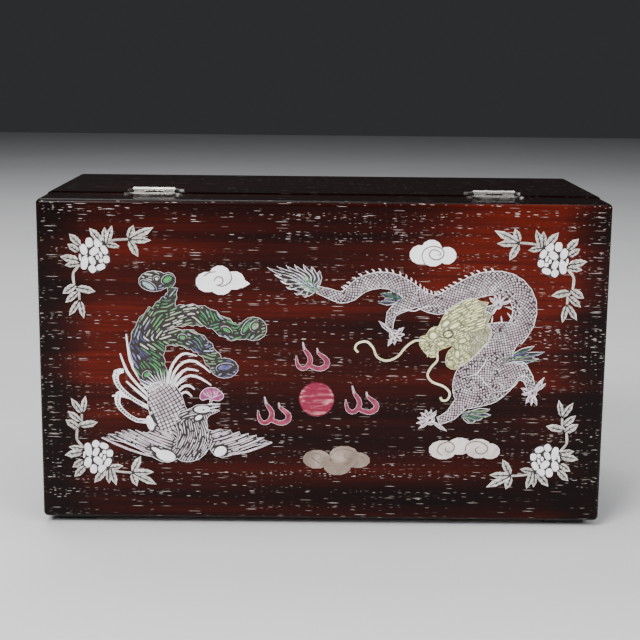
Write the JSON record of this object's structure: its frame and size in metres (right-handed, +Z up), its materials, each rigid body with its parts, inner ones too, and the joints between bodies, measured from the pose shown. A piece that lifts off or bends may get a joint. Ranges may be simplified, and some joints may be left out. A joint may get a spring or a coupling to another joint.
{
  "type": "mahjong case",
  "caption": "Dark hardwood mahjong case with a shell-inlaid back panel, a hinged lid over a tray, dovetailed drawers below it, a hook latch and side bail handles",
  "frame": {"origin": "On the floor, midway across the width and midway between the back face and the ends of the drawer pulls", "axes": "+X along the width, to the right of someone facing the drawers; -Y towards the drawer fronts, +Y towards the inlaid back panel; +Z up"},
  "size_m": [0.3574, 0.1815, 0.2028],
  "materials": {
    "case_wood": "polished lacquer over dark streaked hardwood",
    "inner_wood": "plain oiled hardwood",
    "felt_pad": "matte black pad",
    "white_brass": "pale nickel brass, polished",
    "shell_white": "polished white shell",
    "shell_gold": "polished yellow-lipped shell",
    "shell_cream": "polished cream shell",
    "shell_pink": "polished pink shell",
    "abalone": "polished green and violet shell"
  },
  "bodies": {
    "case": {"back_panel": "case_wood", "side_left": "case_wood", "side_right": "case_wood", "bottom_board": "inner_wood", "drawer_shelf": "inner_wood", "tray_floor": "inner_wood", "divider_lower": "inner_wood", "divider_upper": "inner_wood", "front_rail": "case_wood", "rear_rail": "case_wood", "tray_slat": "inner_wood", "feet": "felt_pad", "hinge_case_leaves": "white_brass", "hinge_pins": "white_brass", "hinge_case_screws": "white_brass", "latch_rosette": "white_brass", "latch_pivot": "white_brass", "handle_pommels_left": "white_brass", "handle_pommels_right": "white_brass", "inlay_dragon_head": "shell_gold", "inlay_dragon_body": "shell_white", "inlay_dragon_tufts": "abalone", "inlay_phoenix_body": "shell_white", "inlay_phoenix_tail": "abalone", "inlay_phoenix_plumes": "shell_white", "inlay_fungus": "shell_pink", "inlay_clouds": "shell_cream", "inlay_pearl": "shell_pink", "inlay_flames": "shell_pink", "inlay_peony_flowers": "shell_pink", "inlay_peony_leaves": "shell_white"},
    "lid": {"lid_board": "case_wood", "lid_battens": "inner_wood", "hinge_lid_leaves": "white_brass", "hinge_lid_screws": "white_brass", "latch_stud": "white_brass"},
    "drawer_lower_left": {"drawer_lower_left_front": "case_wood", "drawer_lower_left_sides": "inner_wood", "drawer_lower_left_back": "inner_wood", "drawer_lower_left_bottom": "inner_wood", "drawer_lower_left_pull": "white_brass"},
    "drawer_lower_right": {"drawer_lower_right_front": "case_wood", "drawer_lower_right_sides": "inner_wood", "drawer_lower_right_back": "inner_wood", "drawer_lower_right_bottom": "inner_wood", "drawer_lower_right_pull": "white_brass"},
    "drawer_upper_left": {"drawer_upper_left_front": "case_wood", "drawer_upper_left_sides": "inner_wood", "drawer_upper_left_back": "inner_wood", "drawer_upper_left_bottom": "inner_wood", "drawer_upper_left_pull": "white_brass"},
    "drawer_upper_right": {"drawer_upper_right_front": "case_wood", "drawer_upper_right_sides": "inner_wood", "drawer_upper_right_back": "inner_wood", "drawer_upper_right_bottom": "inner_wood", "drawer_upper_right_pull": "white_brass"},
    "handle_left": {"handle_bail_left": "white_brass"},
    "handle_right": {"handle_bail_right": "white_brass"},
    "latch": {"latch_hook": "white_brass"}
  },
  "joints": [
    {"name": "lid_hinge", "type": "hinge", "parent": "case", "child": "lid", "pos_m": [0, 0.0525, 0.2014], "axis": [-1, 0, 0], "range_deg": [0, 180]},
    {"name": "drawer_lower_left_slide", "type": "slide", "parent": "case", "child": "drawer_lower_left", "axis": [0, -1, 0], "range_m": [0, 0.115]},
    {"name": "drawer_lower_right_slide", "type": "slide", "parent": "case", "child": "drawer_lower_right", "axis": [0, -1, 0], "range_m": [0, 0.115]},
    {"name": "drawer_upper_left_slide", "type": "slide", "parent": "case", "child": "drawer_upper_left", "axis": [0, -1, 0], "range_m": [0, 0.115]},
    {"name": "drawer_upper_right_slide", "type": "slide", "parent": "case", "child": "drawer_upper_right", "axis": [0, -1, 0], "range_m": [0, 0.115]},
    {"name": "handle_left_swing", "type": "hinge", "parent": "case", "child": "handle_left", "pos_m": [-0.175, 0.0085, 0.118], "axis": [0, 1, 0], "range_deg": [0, 180]},
    {"name": "handle_right_swing", "type": "hinge", "parent": "case", "child": "handle_right", "pos_m": [0.175, 0.0085, 0.118], "axis": [0, -1, 0], "range_deg": [0, 180]},
    {"name": "latch_swing", "type": "hinge", "parent": "case", "child": "latch", "pos_m": [0, -0.0735, 0.17105], "axis": [0, 1, 0], "range_deg": [0, 180]}
  ]
}
